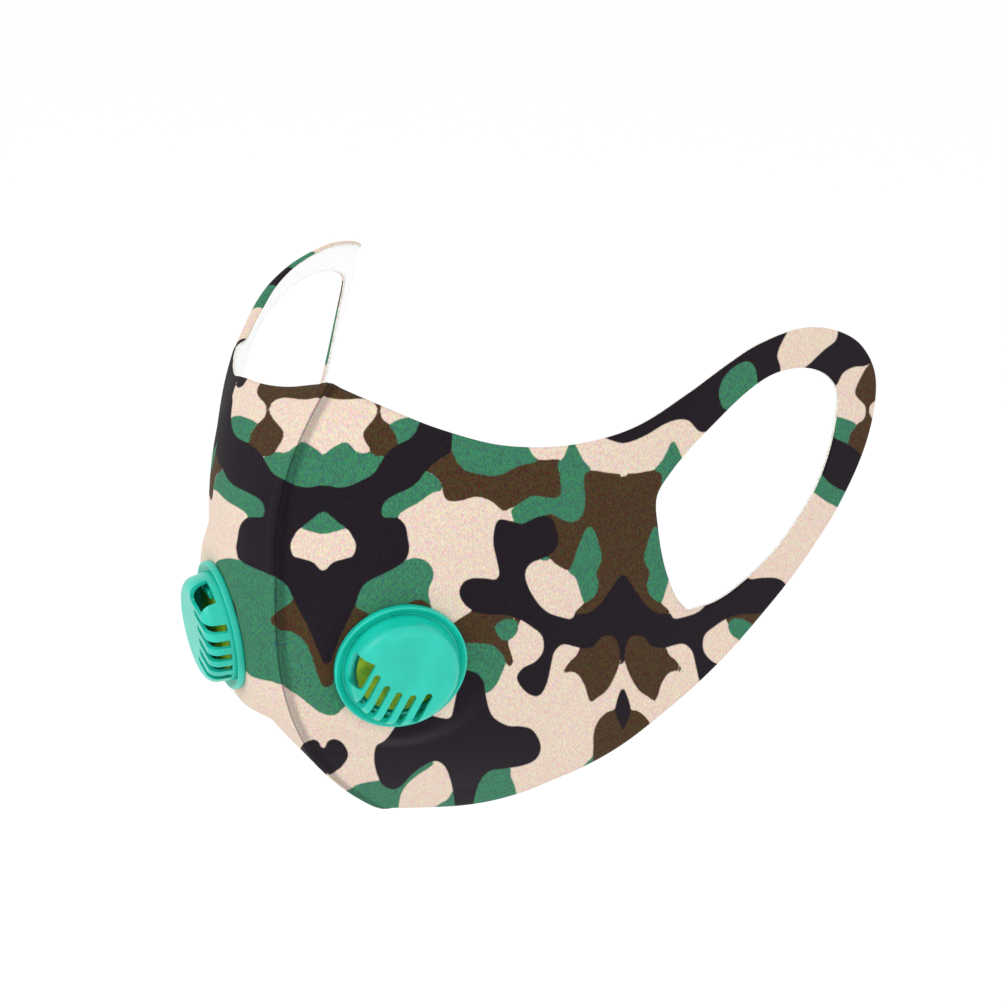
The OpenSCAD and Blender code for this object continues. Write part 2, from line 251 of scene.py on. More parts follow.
def drift(x, z):
    """How the right half lies beside a mirrored left one: lifted, spread, and its loop leaning."""
    s = from_seam(x, z)
    lift = RIGHT_LIFT * fade(s, 12, 57) * fade(z, 2, 36)
    spread = RIGHT_SPREAD * fade(s, 70, 140) * fade(z, -30, 35)
    lean = RIGHT_LEAN * (np.clip((z - 22) / 30, -1, 1) - 0.9 * fade(x, 190, 218))
    along_loop = fade(x, STRAP_X, STRAP_X + 75)
    return np.stack([along_loop * lean - (1 - along_loop) * spread, 0 * lift, lift], -1)


def top_of_right_loop():
    """Flat line of the edge that rolls in: round the top of the ear loop, and forward along the panel."""
    first_rung = 8
    upper = through([outer for outer, _ in RUNGS], np.linspace(first_rung / (len(RUNGS) - 1), 1, 61))
    front = np.linspace(STRAP_X, ROLL_FRONT, 31)[1:]
    return np.concatenate([upper, np.stack([front, through(TOP_EDGE, front / STRAP_X)], -1)])


def right_roll(x, z):
    """The roll at flat points: arc length into it, its direction and its strength."""
    edge = top_of_right_loop()
    a, ab = edge[:-1], np.diff(edge, axis=0)
    q = np.stack([x, z], -1).reshape(-1, 1, 2)
    t = np.clip(((q - a) * ab).sum(-1) / (ab**2).sum(-1), 0, 1)
    gap = np.linalg.norm(q - a - t[..., None] * ab, axis=-1)
    normal = unit(np.stack([-ab[:, 1], ab[:, 0]], -1))
    normal *= np.sign(normal[:, 1:] + 1e-9)
    arc = np.maximum(ROLL_WIDTH - gap.min(1).reshape(x.shape), 0)
    strength = fade(x, 108, 124) * fade(x, 216, 202)
    return arc, normal[gap.argmin(1)].reshape(*x.shape, 2), strength


def rolled(x, z, side):
    """The outside with its rolled edge: place, outward direction and height of the waves."""
    arc, way, strength = right_roll(x, z)
    turn = math.radians(ROLL_ANGLE) * np.maximum(strength, 1e-3) / ROLL_WIDTH  # per millimetre
    x0, z0 = x - way[..., 0] * arc, z - way[..., 1] * arc
    e = 0.2
    start, n = outside(x0, z0, side), outward(x0, z0, side)
    m = (outside(x0 + e * way[..., 0], z0 + e * way[..., 1], side) - start) / e
    sin, cos = np.sin(arc * turn)[..., None], np.cos(arc * turn)[..., None]
    return start + (m * sin - n * (1 - cos)) / turn[..., None], n * cos + m * sin, undulation(x0, z0, side)


def worn(x, z, depth, side):
    """Flat points carried to the worn shape, at a depth under the outside."""
    if side == "left":
        p, n, rise = outside(x, z, side), outward(x, z, side), undulation(x, z, side)
    else:
        p, n, rise = rolled(x, z, side)
    level = n * (0, 1, 1)  # on the seam a layer stays in the plane between the halves
    on_seam = (from_seam(x, z) < 0.01)[..., None]
    step = np.where(on_seam, level / (level**2).sum(-1, keepdims=True), n)
    p = p + step * (rise - depth)[..., None]
    return p if side == "left" else p * MIRRORED + drift(x, z)


# ---- Cloth grids ----

def rear_points(strap_rows, hole_rows):
    """Rear boundary of the panel: lower strap, front of the ear hole, upper strap."""
    lower_z = np.linspace(BOTTOM_EDGE[-1], HOLE_FRONT[0][1], strap_rows + 1)[:-1]
    upper_z = np.linspace(HOLE_FRONT[-1][1], TOP_EDGE[-1], strap_rows + 1)
    hole = through(HOLE_FRONT, np.linspace(0, 1, hole_rows + 1)[:-1])
    return np.concatenate([[(STRAP_X, z) for z in lower_z], hole, [(STRAP_X, z) for z in upper_z]])


def panel_points(rear, columns):
    """Columns of flat points from the seam to the rear boundary, closer together beside the seam."""
    c = np.linspace(0, 1, columns + 1)[:, None]
    c = 0.5 * c + 0.5 * c * c
    share = (rear[:, 1] - BOTTOM_EDGE[-1]) / (TOP_EDGE[-1] - BOTTOM_EDGE[-1])
    share = (1 - c) * np.linspace(0, 1, len(rear)) + c * share
    z = (1 - share) * through(BOTTOM_EDGE, c) + share * through(TOP_EDGE, c)
    return np.stack([(1 - c) * seam_x(z) + c * rear[:, 0], z], -1).reshape(-1, 2)


def grid_quads(grid):
    """Quads of a grid of point numbers."""
    return np.stack([grid[:-1, :-1], grid[1:, :-1], grid[1:, 1:], grid[:-1, 1:]], -1).reshape(-1, 4)


def half_blank(columns, strap_rows, hole_rows, loop_steps):
    """One half with its ear loop as flat points and quads: two grids that share the straps."""
    rear = rear_points(strap_rows, hole_rows)
    rows = len(rear)
    panel = np.arange((columns + 1) * rows).reshape(columns + 1, rows)

    t = np.linspace(0, 1, loop_steps + 1)
    outer, hole = (through([rung[k] for rung in RUNGS], t)[:, None] for k in (0, 1))
    across = np.linspace(0, 1, strap_rows + 1)[:, None]
    inner = ((1 - across) * hole + across * outer)[1:-1].reshape(-1, 2)
    loop = np.zeros((loop_steps + 1, strap_rows + 1), int)
    loop[0] = panel[-1, strap_rows::-1]
    loop[-1] = panel[-1, rows - 1 - strap_rows:]
    loop[1:-1] = panel.size + np.arange(len(inner)).reshape(loop_steps - 1, strap_rows + 1)
    quads = np.concatenate([grid_quads(panel), grid_quads(loop)[:, ::-1]])
    return np.concatenate([panel_points(rear, columns), inner]), quads


def outline_edges(quads):
    """Edges used by one quad only, in the quad's own direction."""
    edges = np.concatenate([quads[:, [k, (k + 1) % 4]] for k in range(4)])
    _, where, count = np.unique(np.sort(edges, axis=1), axis=0, return_index=True, return_counts=True)
    return edges[where[count == 1]]


def closed_sheet(quads, rim, under):
    """Faces of a closed sheet: the quads, the same ones turned over, `under` points on, and walls."""
    walls = np.stack([rim[:, 1], rim[:, 0], rim[:, 0] + under, rim[:, 1] + under], -1)
    return np.concatenate([quads, quads[:, ::-1] + under, walls])


def cut_valve_hole(points, quads, side):
    """Leaves out the quads that reach into the hole for the valve's neck."""
    r = from_valve(bare(*points.T), side)[1]
    return quads[(r[quads] > FABRIC_HOLE_R).all(1)]


def new_piece(name, points, faces, material):
    """A smooth-shaded mesh object from points in millimetres and lists of point numbers."""
    mesh = bpy.data.meshes.new(name)
    mesh.from_pydata((np.asarray(points) * MM).tolist(), [], faces)
    mesh.shade_smooth()
    mesh.materials.append(material)
    piece = bpy.data.objects.new(name, mesh)
    bpy.context.scene.collection.objects.link(piece)
    return piece


def cloth_place(piece, values):
    """Gives each point its place on the cloth or thread, in millimetres, for the materials."""
    attribute = piece.data.attributes.new("cloth", "FLOAT_VECTOR", "POINT")
    attribute.data.foreach_set("vector", np.asarray(values, np.float32).ravel())


def float_attribute(piece, name, values):
    attribute = piece.data.attributes.new(name, "FLOAT", "POINT")
    attribute.data.foreach_set("value", np.asarray(values, np.float32))


def ply(name, blank, near, far, side, material, pinch=0.0, form=None):
    """One layer of the laminate as a closed sheet between two depths; pinch presses its cut edge together."""
    flat, quads = blank
    quads = cut_valve_hole(flat, quads, side)
    rim = outline_edges(quads)
    x, z = flat.T
    on_rim = np.zeros(len(flat), bool)
    on_rim[rim] = True
    on_rim &= from_seam(x, z) > 0.01
    top = worn(x, z, near + np.where(on_rim, max(pinch, 0), 0) - (form(x, z) if form else 0), side)
    under = worn(x, z, far + np.where(on_rim, min(pinch, 0), 0), side)
    faces = closed_sheet(quads, rim, len(flat))
    if side == "right":
        faces = faces[:, ::-1]
    used, index = np.unique(faces, return_inverse=True)
    piece = new_piece(name, np.concatenate([top, under])[used], index.reshape(faces.shape).tolist(), material)
    cloth = np.concatenate([flat, flat])[used]
    cloth_place(piece, np.column_stack([cloth, 0 * cloth[:, 0]]))
    return piece, cloth


# ---- The camouflage print ----

# The print is laid over the worn mask as it is seen from the left front, so its own coordinates are
# u to the right and v up from the front of the seam, in millimetres, from a point this far away.
PRINT_AZIMUTH, PRINT_ELEVATION, PRINT_DISTANCE = math.radians(35), math.radians(18), 900.0
# It repeats as mirror images between these two values of u.
MIRROR_FRONT, MIRROR_REAR = 13.7, 99.2
PRINT_COLOURS = ("tan", "green", "brown", "black")
# Distances to a patch's outline are cut off here
PRINT_REACH = 8.0
# Where the right half turns away, the print keeps at least this rate along the cloth. From PRINT_TURN
# beyond the turn it goes back to its own scale over PRINT_EASE, but never past PRINT_FASTEST.
PRINT_SQUEEZE, PRINT_FASTEST = 0.33, 1.2
PRINT_TURN, PRINT_EASE = 6.0, 12.0
PRINT_STEPS = 60

# Patches between the two mirrors, in the order they are printed over the tan ground
PATCHES = [
    ("brown", [(5, 50.3), (13, 50.6), (14, 51.1), (15, 50.4), (20, 50), (25, 50.3), (28, 49.2), (29, 47),
               (28.2, 44.8), (25.2, 41), (25.2, 39), (26.8, 36.2), (28, 34), (31, 32), (35.5, 35),
               (35.2, 38), (34, 41), (32.5, 43), (30.6, 44.5), (30, 46.5), (30.3, 48.5), (32.5, 51),
               (32.8, 53), (31, 57), (29, 60), (24, 64), (14, 66), (5, 66)]),
    ("brown", [(50, 35.5), (46.5, 32.8), (43.2, 30), (45.8, 28.4), (47.4, 26), (48.2, 22.6), (49.8, 21.2),
               (53, 21.3), (57.5, 22.4), (61.5, 21.3), (64, 19.3), (65.5, 18.3), (67.5, 19.2), (71, 20.4),
               (74, 21.7), (79, 20.8), (82.8, 22), (82.6, 28), (81.6, 32.8), (77, 33), (73, 33), (60, 31),
               (53, 34)]),
    ("brown", [(88.2, 30), (88.1, 26.5), (88, 22.5), (87, 20), (84, 18.5), (80, 19.5), (76.8, 16.5),
               (76.8, 7), (78.6, 4.7), (80.6, 2.8), (83.8, 1.2), (86.5, 1), (89.5, -4), (88.2, -8),
               (86.2, -10), (85.2, -12.2), (90, -14), (99, -14), (108, -14), (108, 29), (99.2, 28.2),
               (98.2, 29), (95, 29.3), (91.5, 29.9)]),
    ("green", [(5, 36), (7.4, 37.9), (9.4, 37.3), (12, 35.8), (13.8, 34.4), (15.5, 35.8), (18, 37.3),
               (20, 37.9), (21.5, 37), (23, 35.4), (25, 34.8), (27.2, 35), (29, 33.9), (31.5, 34), (33, 32),
               (30, 26), (22, 22), (5, 22)]),
    ("green", [(32.6, 43), (37.5, 45.1), (41.5, 44.5), (42, 42), (38.5, 38), (35.4, 36.5), (34.2, 40.5)]),
    ("green", [(50.3, 50), (50.4, 38), (50.6, 35.2), (52.3, 32), (54.5, 30), (59, 28.8), (63, 28.4),
               (66.5, 29.6), (70, 31.4), (75, 32.6), (73.6, 34.6), (72.4, 37), (71, 42), (64, 50)]),
    ("green", [(41, 30), (44, 29.3), (46.6, 27.2), (47.7, 24.4), (45, 23.6), (41, 20.8), (37, 18.6),
               (35.2, 17), (34, 14), (29, 15), (29, 22), (35, 26)]),
    ("green", [(37.3, 4.3), (40, 4.9), (43.2, 4), (45, 1.6), (44.9, -0.8), (43.8, -3), (43.6, -5.5),
               (44.5, -9), (44, -14), (40, -22), (32, -28), (24, -32), (20, -34.3), (18, -35.6),
               (14, -37.4), (4, -37), (4, -15), (20, -2), (30, 2)]),
    ("brown", [(4, -5), (20, -5), (22.5, -7.6), (26, -9.9), (28.5, -12.6), (26.5, -15.4), (22.5, -16),
               (19.6, -17.5), (17.8, -21.5), (16, -27), (13.7, -29.4), (4, -29.4)]),
    ("brown", [(37.5, -8.5), (40, -6.7), (43, -7.5), (45, -12), (38, -14)]),
    ("brown", [(50, -15), (54, -11.5), (57, -10), (61, -10.3), (65, -10.2), (69.6, -11), (69.6, -13.5),
               (66.5, -18.5), (66.9, -21.3), (67.8, -24.6), (66.6, -26), (65.4, -24), (63.5, -21.2),
               (60.5, -19.6), (55, -19.8), (48, -21)]),
    ("green", [(62.5, -15), (63.5, -13.5), (66, -12.5), (68.5, -13), (69.3, -15), (68.2, -17.3),
               (66, -18.6), (64, -17.8)]),
    ("green", [(47, -22), (53, -19.8), (60.5, -19.6), (63.5, -21.1), (65.6, -24.5), (64.4, -28.2),
               (62.7, -31.5), (60, -33.4), (56, -32), (47, -30)]),
    ("green", [(83.8, 1), (85, 3.2), (86, 6.5), (87.3, 9.8), (88.4, 12.6), (89.5, 13.9), (90.5, 13.6),
               (91.6, 11.5), (92.5, 8.3), (93.3, 5), (92.4, 2.4), (91.6, 0.3), (92.3, -2), (92.1, -4.5),
               (90.9, -6.5), (88.3, -7.9), (87.4, -5.8), (86.6, -3), (85.6, -0.6)]),
    ("green", [(85, 38.5), (86.2, 36.3), (88, 32.8), (90.2, 30.2), (88.3, 29), (88.2, 25.5), (88.5, 21),
               (87.6, 17), (85, 15), (82, 15.9), (78, 17.5), (72, 14), (69.5, 14.3), (68.1, 16),
               (67.7, 18.8), (71, 21.2), (74, 22.7), (79, 22.1), (81.6, 23), (81.4, 28), (80.7, 31.9),
               (82.2, 33.5), (83.6, 36.8)]),
    ("green", [(74.5, 5), (76.5, 5.6), (78.6, 4.8), (77, 4)]),
    ("brown", [(86, -22.8), (88, -19), (93, -16), (98.5, -17), (98.6, -22), (98.3, -25.6), (96.8, -29.5),
               (94.5, -33.2), (92, -35), (90, -36.3), (89, -34.4), (88.2, -31.6), (86.4, -28.6),
               (84.4, -27.6), (82, -27.8), (84, -24.6)]),
    ("green", [(90.6, -50), (90.2, -52), (88.5, -53.6), (86, -58), (92, -60), (91.5, -54)]),
    ("brown", [(97, -38.6), (94.5, -39.3), (92, -41.7), (90.7, -45), (90.5, -49), (90.5, -53), (92, -60),
               (108, -60), (108, -38), (99.2, -38)]),
    ("green", [(17, -66), (19.5, -62), (22.5, -60), (26, -59), (30, -58.4), (36, -57), (42, -53),
               (45.2, -53), (43.8, -54.6), (40.5, -56.8), (37.5, -59.5), (35.7, -62.5), (35, -66),
               (34, -72), (20, -72)]),
    ("green", [(55, -66), (57, -60), (60, -55), (66.4, -54.8), (67, -57.6), (68.3, -61.3), (68.5, -70),
               (55, -70)]),
    ("green", [(44.5, -67), (46.5, -65.2), (49, -63.6), (50.7, -61), (53, -61), (52, -70), (45, -70)]),
    ("black", [(4, 25.2), (13.8, 25.6), (18, 25), (21.5, 25.6), (25.5, 27.5), (28, 29), (30, 32), (32, 35),
               (35, 37.3), (38.3, 39), (40, 41), (41.2, 44), (43, 50), (50, 50), (50.5, 41), (50.4, 37),
               (50, 35.2), (46.5, 32.8), (43, 29.8), (41, 27), (38.5, 25), (34.5, 23.1), (31.6, 21.3),
               (30.4, 18.8), (31, 16.6), (35, 16.3), (37.2, 14), (38, 10), (38.3, 7.5), (37.2, 4.3),
               (33, 1.8), (27, -0.7), (24, -3), (21.8, -7.5), (18.4, -14), (15.5, -20.8), (13.7, -22.8),
               (4, -22.8)]),
    ("tan", [(4, 6), (10, 4), (13.7, 1.4), (16.5, 3.7), (20, 4.8), (22.2, 5.6), (23, 8.5), (22, 11),
             (20, 13.4), (14, 15), (4, 14)]),
    ("green", [(4, 12), (10, 12.6), (14, 11.8), (16.5, 12.3), (20, 13.4), (18.3, 14.8), (16.5, 16.3),
               (13.8, 18), (10, 16.2), (4, 13)]),
    ("black", [(4, -50), (10, -47.5), (13.7, -49.2), (15, -47.4), (17, -46.8), (19.3, -48), (20.8, -51),
               (19.6, -53.8), (16.5, -56.2), (13.7, -56.6), (4, -56)]),
    ("black", [(53, -27.3), (55, -27.2), (57.5, -28), (59.2, -30), (60, -34.5), (61.8, -40), (66, -42.8),
               (70, -43.1), (73.4, -44.3), (75.6, -48.6), (74.4, -52.4), (70.5, -54.4), (65, -55.2),
               (61, -55.8), (58, -59), (56.3, -64.8), (56, -70), (51.5, -70), (51, -66), (50.2, -60),
               (48.5, -54.8), (46, -52.8), (43, -53.6), (39, -56.5), (36, -59.8), (33.5, -61),
               (30.5, -59.7), (28.6, -55.5), (28.2, -51), (29.5, -46.5), (31.5, -43), (35, -40), (40, -38),
               (46, -39.4), (49.3, -39.6), (50.6, -36.5), (51.6, -33), (52.4, -30)]),
    ("black", [(63.6, 15.6), (65.5, 15.9), (68.5, 15.1), (71, 14.7), (73.5, 16), (77, 17), (79.3, 15.9),
               (80.4, 13), (81, 10.3), (80, 7), (76.5, 4.8), (73, 3.3), (71.4, 0.5), (72.3, -3.5), (75, -8),
               (78, -10.7), (82, -12.1), (84.5, -12.5), (85.9, -11.3), (89.5, -10.8), (92.5, -8.7),
               (95.2, -5), (97.3, -1.9), (99.2, 0), (108, 0), (108, -25), (99.2, -25.6), (98.6, -25),
               (98.3, -21), (97.2, -18.2), (95, -17.4), (92.8, -18.2), (91, -20.4), (88, -21),
               (85.5, -20.5), (82, -19.8), (79.6, -21.8), (78.7, -25), (77.3, -31), (75, -34.4),
               (71.5, -33.4), (68.8, -29.5), (70.4, -26.5), (74, -24.6), (76.3, -21.5), (76, -17.4),
               (73, -14.7), (69.5, -12.5), (66, -11.4), (61, -11.1), (57, -10.3), (54, -8.2), (52.4, -5),
               (53.4, -2.2), (56, -0.9), (60, -0.9), (62.8, -1.2), (63.9, 0.4), (63.2, 4.5), (62.3, 9),
               (62.6, 13)]),
    ("black", [(99.4, -32.4), (98.2, -34), (97.3, -36.6), (96.9, -39), (97.6, -41.2), (98.5, -43.2),
               (99.4, -44.2), (102, -40), (102, -36)]),
    ("black", [(54, 57.5), (60, 50), (70, 43), (74.5, 41.2), (77.5, 41.2), (80.5, 44.2), (84, 44.4),
               (88, 42.8), (93, 39.8), (99.2, 37.7), (108, 37.7), (108, 78), (50, 78), (51.2, 71),
               (53, 67.5), (54.7, 63)]),
    ("green", [(60.6, 56), (61.3, 59.5), (63.5, 61.2), (67, 59.8), (70, 57), (71.6, 53.5), (71.6, 50.5),
               (70, 47.5), (65, 47), (61, 51)]),
    ("black", [(30, 59.8), (33, 59.5), (36.2, 57.7), (38.8, 53.5), (44, 54), (47, 58.5), (45, 61),
               (41.5, 64.5), (38.3, 67.2), (36, 72), (26, 70), (27, 62)]),
]
# Patches of the right half only, as flat points: the dark stripe up its rear, and the bands across
# its ear loop
RIGHT_PATCHES = [
    ("black", [(50, 28), (54, 30), (56.5, 32.3), (61, 35), (63.5, 37), (61, 41), (66, 48), (110, 46),
               (118, 42), (117, 34), (108, 20), (100, 12), (90, 14), (80, 18), (70, 16), (58, 20)]),
    ("tan", [(116, 60), (117, 40), (120, 30), (124, 20), (136, 20), (137, 36), (136, 50), (134, 62)]),
    ("green", [(134, 62), (135, 50), (136, 38), (138, 20), (154, 20), (154, 38), (152, 52), (152, 64)]),
    ("black", [(146, 64), (146, 52), (149, 38), (150, 26), (168, 30), (167, 42), (164, 54), (163, 66)]),
    ("green", [(156, 66), (157, 54), (160, 42), (162, 34), (174, 34), (172, 46), (170, 56), (170, 66)]),
    ("tan", [(170, 66), (170, 56), (173, 44), (176, 34), (205, 32), (206, 42), (201, 52), (198, 64)]),
    ("brown", [(198, 64), (202, 50), (206, 42), (196, 34), (194, 22), (224, 22), (226, 46), (210, 58)]),
    ("green", [(190, 28), (204, 26), (224, 30), (224, 8), (206, 6), (190, 10)]),
    ("tan", [(188, 12), (206, 8), (224, 6), (217, -12), (198, -19), (176, -12), (178, 2)]),
]


def closed_curve(points, steps=8):
    """A smooth closed curve through the points, as a polygon."""
    p = np.asarray(points, float)
    a, b, c, d = (np.roll(p, k, axis=0)[:, None] for k in (1, 0, -1, -2))
    f = np.linspace(0, 1, steps, endpoint=False)[None, :, None]
    return spline(a, b, c, d, f).reshape(-1, 2)


def inside_distance(q, polygon):
    """Distance of the points q to a polygon's outline, positive inside and cut off at PRINT_REACH."""
    found = np.full(len(q), -PRINT_REACH)
    lo, hi = polygon.min(0) - PRINT_REACH, polygon.max(0) + PRINT_REACH
    near = np.nonzero(((q > lo) & (q < hi)).all(1))[0]
    for part in np.array_split(near, max(1, len(near) // 4000)):
        p = q[part][:, None]
        a, b = polygon[None], np.roll(polygon, -1, axis=0)[None]
        ab = b - a
        t = np.clip(((p - a) * ab).sum(-1) / np.maximum((ab**2).sum(-1), 1e-9), 0, 1)
        distance = np.linalg.norm(p - a - t[..., None] * ab, axis=-1).min(1)
        crosses = (a[..., 1] > p[..., 1]) != (b[..., 1] > p[..., 1])
        slope = ab[..., 0] / np.where(np.abs(ab[..., 1]) < 1e-9, 1e-9, ab[..., 1])
        odd = (crosses & (p[..., 0] < a[..., 0] + (p[..., 1] - a[..., 1]) * slope)).sum(1) % 2 == 1
        found[part] = np.where(odd, distance, -distance)
    return np.clip(found, -PRINT_REACH, PRINT_REACH)


def print_point(points):
    """Print coordinates of points of the worn mask, in millimetres."""
    sa, ca = math.sin(PRINT_AZIMUTH), math.cos(PRINT_AZIMUTH)
    se, ce = math.sin(PRINT_ELEVATION), math.cos(PRINT_ELEVATION)
    p = points + (0, LIP_DEPTH, 0)
    u = p @ (ca, sa, 0)
    v = p @ (-sa * se, ca * se, ce)
    scale = PRINT_DISTANCE / (PRINT_DISTANCE - p @ (sa * ce, -ca * ce, se))
    return np.stack([u * scale, v * scale], -1)


def print_place(x, z, side):
    """Print coordinates of flat points. It runs on round the right half where that turns out of sight."""
    if side == "left":
        return print_point(bare(x, z))
    start = seam_x(z)
    step = np.maximum(x - start, 0.01) / PRINT_STEPS
    path = start + step * np.arange(PRINT_STEPS + 1)[:, None]
    seen = print_point(bare(path, z + 0 * path) * MIRRORED + drift(path, z + 0 * path))
    rate = np.diff(seen[..., 0], axis=0) / step
    hidden = np.cumsum(np.clip((rate + PRINT_SQUEEZE) / 0.2, 0, 1), axis=0) * step
    own_scale = fade(hidden, PRINT_TURN, PRINT_TURN + PRINT_EASE)
    run = np.minimum(rate, -PRINT_SQUEEZE) - (1 - PRINT_SQUEEZE) * own_scale
    run = np.maximum(run, -PRINT_FASTEST)
    return np.stack([seen[0, :, 0] + (run * step).sum(0), seen[-1, :, 1]], -1)


def print_fields(flat, side):
    """Signed distance of each cloth point into each print colour."""
    uv = print_place(*flat.T, side)
    span = MIRROR_REAR - MIRROR_FRONT
    u = np.mod(uv[:, 0] - MIRROR_FRONT, 2 * span)
    uv[:, 0] = MIRROR_FRONT + np.minimum(u, 2 * span - u)
    fields = {c: np.full(len(flat), PRINT_REACH if c == "tan" else -PRINT_REACH) for c in PRINT_COLOURS}
    printed = [(colour, points, uv) for colour, points in PATCHES]
    if side == "right":
        printed += [(colour, points, flat) for colour, points in RIGHT_PATCHES]
    for colour, points, place in printed:
        d = inside_distance(place, closed_curve(points))
        for c in PRINT_COLOURS:
            fields[c] = np.maximum(fields[c], d) if c == colour else np.minimum(fields[c], -d)
    return fields


# ---- Materials ----

def srgb(*channels):
    """Linear colour from 8-bit sRGB."""
    parts = [c / 255 for c in channels]
    return tuple(c / 12.92 if c <= 0.04045 else ((c + 0.055) / 1.055) ** 2.4 for c in parts) + (1.0,)


class Nodes:
    """Short ways to add nodes to a material."""

    def __init__(self, name):
        self.material = bpy.data.materials.new(name)
        self.material.use_nodes = True
        self.tree = self.material.node_tree
        self.shader = self.tree.nodes["Principled BSDF"]

    def add(self, kind, **settings):
        node = self.tree.nodes.new(kind)
        for key, value in settings.items():
            setattr(node, key, value)
        return node

    def feed(self, socket, value):
        """Links a node's output to a socket, or sets the socket to a number or colour."""
        if isinstance(value, bpy.types.NodeSocket):
            self.tree.links.new(value, socket)
        elif value is not None:
            socket.default_value = value

    def attribute(self, name, output="Fac"):
        return self.add("ShaderNodeAttribute", attribute_name=name).outputs[output]

    def parts(self, vector):
        """The x, y and z of a vector."""
        node = self.add("ShaderNodeSeparateXYZ")
        self.feed(node.inputs[0], vector)
        return node.outputs

    def math(self, operation, a, b=None):
        node = self.add("ShaderNodeMath", operation=operation)
        self.feed(node.inputs[0], a)
        self.feed(node.inputs[1], b)
        return node.outputs[0]

    def wave(self, value, pitch):
        """Sine of a length, with one wave for each pitch."""
        return self.math("SINE", self.math("MULTIPLY", value, 2 * math.pi / pitch))

    def mix(self, factor, a, b, blend="MIX"):
        node = self.add("ShaderNodeMix", data_type="RGBA", blend_type=blend)
        self.feed(node.inputs[0], factor)
        self.feed(node.inputs[6], a)
        self.feed(node.inputs[7], b)
        return node.outputs[2]

    def ramp(self, value, low, high):
        """0 below low and 1 above high, smoothly."""
        node = self.add("ShaderNodeMapRange", interpolation_type="SMOOTHSTEP")
        self.feed(node.inputs[0], value)
        self.feed(node.inputs[1], low)
        self.feed(node.inputs[2], high)
        return node.outputs[0]

    def scaled(self, vector, scale):
        node = self.add("ShaderNodeVectorMath", operation="MULTIPLY")
        self.feed(node.inputs[0], vector)
        self.feed(node.inputs[1], scale if isinstance(scale, tuple) else (scale,) * 3)
        return node.outputs[0]

    def noise(self, vector, scale, detail=2.0, roughness=0.5):
        node = self.add("ShaderNodeTexNoise")
        self.feed(node.inputs["Vector"], self.scaled(vector, scale))
        self.feed(node.inputs["Scale"], 1.0)
        self.feed(node.inputs["Detail"], detail)
        self.feed(node.inputs["Roughness"], roughness)
        return node

    def paint(self, colour):
        self.feed(self.shader.inputs["Base Color"], colour)

    def paint_between(self, value, low, high, a, b):
        """Base colour from a, where the value is low, to b, where it is high."""
        self.paint(self.mix(self.ramp(value, low, high), a, b))

    def roughness(self, grain, least, spread):
        rough = self.math("ADD", self.math("MULTIPLY", grain, spread), least)
        self.feed(self.shader.inputs["Roughness"], rough)

    def bump(self, height, strength, distance):
        node = self.add("ShaderNodeBump")
        self.feed(node.inputs["Strength"], strength)
        self.feed(node.inputs["Distance"], distance)
        self.feed(node.inputs["Height"], height)
        self.feed(self.shader.inputs["Normal"], node.outputs[0])

    def set(self, **values):
        for key, value in values.items():
            self.shader.inputs[key.replace("_", " ")].default_value = value


def knit(n, cloth, wale=0.62, course=0.55):
    """Height of a fine knit, 0 to 1: columns of stitches that lean one way and the other."""
    x, y, _ = n.parts(cloth)
    wobble = n.math("MULTIPLY", n.noise(cloth, 0.9).outputs[0], 2.4)
    a = n.math("ADD", n.math("MULTIPLY", x, 2 * math.pi / wale), wobble)
    b = n.math("ADD", n.math("MULTIPLY", y, 2 * math.pi / course), wobble)
    lean = n.math("MULTIPLY", n.math("SINE", a), 1.2)
    stitch = n.math("SINE", n.math("ADD", b, lean))
    column = n.math("ABSOLUTE", n.math("SINE", n.math("MULTIPLY", a, 0.5)))
    return n.math("ADD", n.math("MULTIPLY", stitch, 0.25), n.math("MULTIPLY", column, 0.5))


def speckled(n, colour, amount, speck, knit_shade):
    """A print colour with a coloured speckle, and painted shade that makes it darker in the hollows of the
    knit.
    """
    tint = n.add("ShaderNodeVectorMath", operation="MULTIPLY_ADD")
    n.feed(tint.inputs[0], speck)
    n.feed(tint.inputs[1], (amount,) * 3)
    n.feed(tint.inputs[2], (1 - 0.5 * amount,) * 3)
    # Painted shade: the speckled colour is scaled down in the knit's hollows
    lit = n.add("ShaderNodeVectorMath", operation="SCALE")
    n.feed(lit.inputs[0], tint.outputs[0])
    n.feed(lit.inputs["Scale"], knit_shade)
    return n.mix(1.0, colour, lit.outputs[0], "MULTIPLY")


def camo_print(n, cloth, knit_shade):
    """The four print colours, with edges that have bled a little into the yarn."""
    speck = n.noise(cloth, (2.3, 1.2, 1.0), 2.0, 0.75).outputs["Color"]
    bleed = n.math("SUBTRACT", n.noise(cloth, 1.3, 3.0, 0.6).outputs[0], 0.5)
    # colour, amount of speckle and raggedness of the edge
    inks = {
        "tan": (srgb(225, 204, 187), 1.5, 0.0),
        "green": (srgb(57, 120, 91), 2.5, 0.7),
        "brown": (srgb(71, 51, 31), 4.0, -0.7),
        "black": (srgb(28, 21, 29), 2.4, 0.45),
    }
    printed = total = None
    for name in PRINT_COLOURS:
        ink, amount, ragged = inks[name]
        shade = speckled(n, ink, amount, speck, knit_shade)
        field = n.math("ADD", n.attribute("print_" + name), n.math("MULTIPLY", bleed, ragged))
        weight = n.ramp(field, -0.24, 0.24)
        if printed is None:
            printed, total = shade, n.math("ADD", weight, 0.001)
        else:
            total = n.math("ADD", total, weight)
            printed = n.mix(n.math("DIVIDE", weight, total), printed, shade)
    return printed


